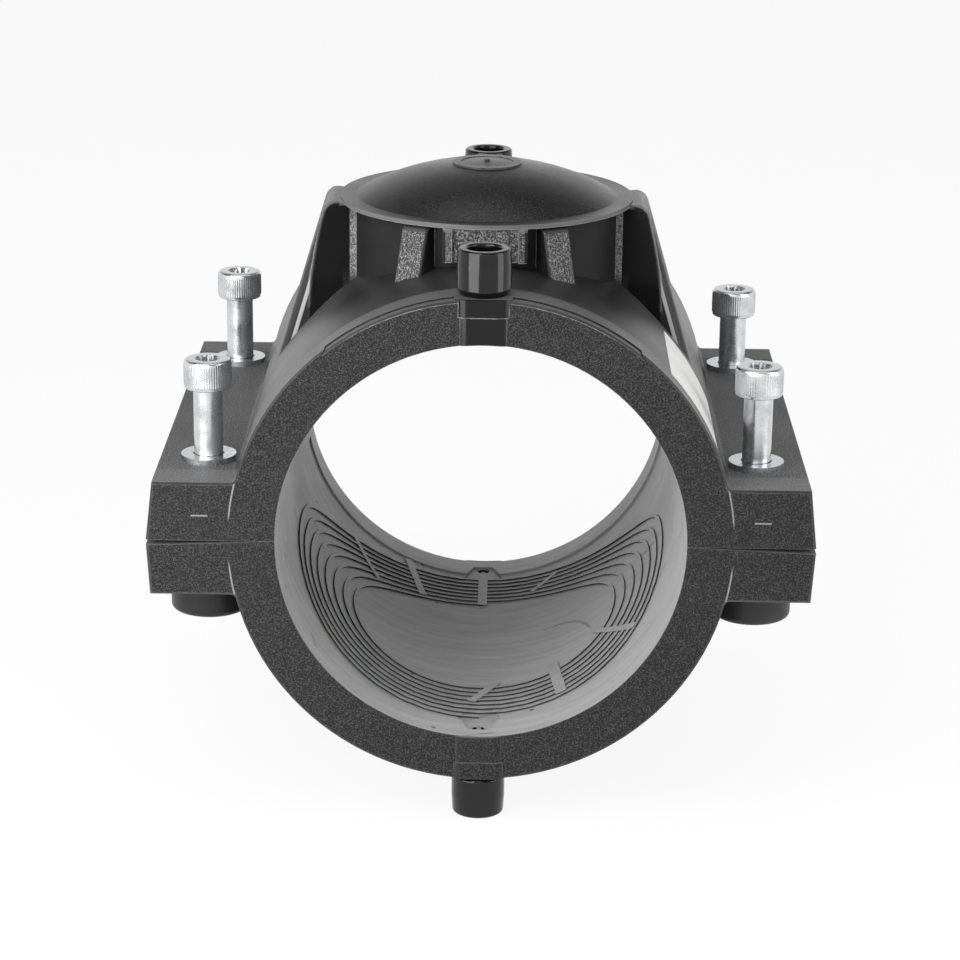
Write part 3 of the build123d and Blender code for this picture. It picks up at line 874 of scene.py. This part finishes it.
# Strips that hold the wires down in the lower bore, and their like in the upper one: the X and Y of
# the outer end and of the inner end, and the width
CLIP_RADIUS = BORE + SURFACE_GAP
CLIP_THICKNESS = 0.11
clips = {
    "rear_left": ((-23.4, 60.6), (-18.0, 33.6), 2.2),
    "left": ((-39.0, 47.0), (-31.1, 28.0), 1.4),
    "rear": ((0.0, 60.6), (0.0, 33.6), 2.8),
    "rear_right": ((22.7, 51.6), (15.0, 40.5), 1.4),
    "right": ((42.9, -39.6), (32.5, -17.0), 1.6),
    "front_right": ((22.7, -51.6), (20.4, -26.6), 3.0),
    "front": ((-2.3, -47.2), (4.6, -33.0), 2.4),
}


def wire_clip(name, half, sign, outer_end, inner_end, width):
    """A flat strip on the bore between two places given by their X and Y."""
    run = Vector((inner_end[0] - outer_end[0], inner_end[1] - outer_end[1])).normalized()
    points = []
    for (px, py), side in ((outer_end, -1), (outer_end, 1), (inner_end, 1), (inner_end, -1)):
        edge_x = px - side * run.y * width / 2
        edge_y = py + side * run.x * width / 2
        points.append((math.degrees(math.asin(edge_x / CLIP_RADIUS)), edge_y))
    strip = patch(f"{half}_{name}_wire_clip", points, CLIP_RADIUS, CLIP_THICKNESS, clip_look, sign, 6, 20)
    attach(strip, f"{half}_half")


for clip, (outer_end, inner_end, width) in clips.items():
    wire_clip(clip, "lower", 1.0, outer_end, inner_end, width)
    wire_clip(clip, "upper", -1.0, outer_end, inner_end, width)

# Floor just under the object
FLOOR_SIZE = 6.0
FLOOR_GAP = 0.0003
bpy.ops.mesh.primitive_plane_add(size=FLOOR_SIZE, location=(0, 0, cad_box[0][2] - FLOOR_GAP))
floor = bpy.context.object
floor.name = "floor"
floor.data.materials.append(floor_material())

WORLD_LIGHT = 0.48  # strength with which the tent lights the object
OVERHEAD = 0.12  # strength with which its top is seen, where 1 is white
WHITE_UP_TO, DIM_FROM = 15, 42  # elevations in degrees


def tent_world():
    """A tent that lights evenly, and is seen as white round the horizon and dim overhead."""
    world = bpy.data.worlds.new("tent")
    world.use_nodes = True
    g = Graph(world.node_tree)
    background = g.tree.nodes["Background"]
    g.feed(background.inputs["Color"], solid(1.0))
    height = g.axes(g.add("ShaderNodeTexCoord").outputs["Generated"])[2]
    low, high = (math.sin(math.radians(angle)) for angle in (WHITE_UP_TO, DIM_FROM))
    strength = g.add("ShaderNodeMix")
    g.feed(strength.inputs["Factor"], g.seen_directly())
    g.feed(strength.inputs["A"], WORLD_LIGHT)
    g.feed(strength.inputs["B"], g.fade(height, low, high, 1.0, OVERHEAD))
    g.feed(background.inputs["Strength"], strength.outputs["Result"])
    return world


bpy.context.scene.world = tent_world()


def softbox(name, place, aim, size, power):
    """A rectangular area lamp turned to a point and hidden from the camera. Metres and watts."""
    lamp = bpy.data.lights.new(name, "AREA")
    lamp.shape = "RECTANGLE"
    lamp.size, lamp.size_y = size
    lamp.energy = power
    holder = bpy.data.objects.new(name, lamp)
    holder.location = place
    holder.rotation_euler = (Vector(aim) - Vector(place)).to_track_quat("-Z", "Y").to_euler()
    holder.visible_camera = False
    bpy.context.scene.collection.objects.link(holder)


softbox("left_wall", (-0.24, -0.30, 0.18), (0, 0, 0.03), (0.34, 0.50), 2.5)
softbox("right_wall", (0.37, -0.17, 0.18), (0, 0, 0.03), (0.22, 0.50), 0.85)
softbox("top", (0.05, 0.10, 1.0), (0, 0, 0.03), (0.9, 0.6), 2.2)
softbox("front", (0.0, -0.75, 0.34), (0, 0, 0.0), (0.5, 0.3), 0.5)

# The photograph's camera, recovered from the bore circles, flange corners, washers and outline
FOCAL_PIXELS = 3115.0
PICTURE_WIDTH = 960.0
SENSOR = 36.0
DISTANCE = 0.902
CLIP_RANGE = (0.01, 20.0)
TARGET = Vector((-0.00094, 0.0, -0.00491))
elevation = math.radians(17.25)
azimuth = math.radians(0.42)
roll = math.radians(0.7)


def photo_camera():
    """The camera turned round its target by azimuth and elevation, and about its own axis by roll."""
    level = math.cos(elevation)
    backward = Vector((math.sin(azimuth) * level, -math.cos(azimuth) * level, math.sin(elevation)))
    right = Vector((0, 0, 1)).cross(backward).normalized()
    up = backward.cross(right)
    tilted_right = right * math.cos(roll) + up * math.sin(roll)
    tilted_up = up * math.cos(roll) - right * math.sin(roll)
    data = bpy.data.cameras.new("camera")
    data.sensor_width = SENSOR
    data.lens = FOCAL_PIXELS / PICTURE_WIDTH * SENSOR
    data.clip_start, data.clip_end = CLIP_RANGE
    holder = bpy.data.objects.new("camera", data)
    turned = Matrix((tilted_right, tilted_up, backward)).transposed().to_4x4()
    holder.matrix_world = Matrix.Translation(TARGET + backward * DISTANCE) @ turned
    bpy.context.scene.collection.objects.link(holder)
    return holder


bpy.context.scene.camera = photo_camera()
bpy.context.scene.view_settings.view_transform = "Standard"
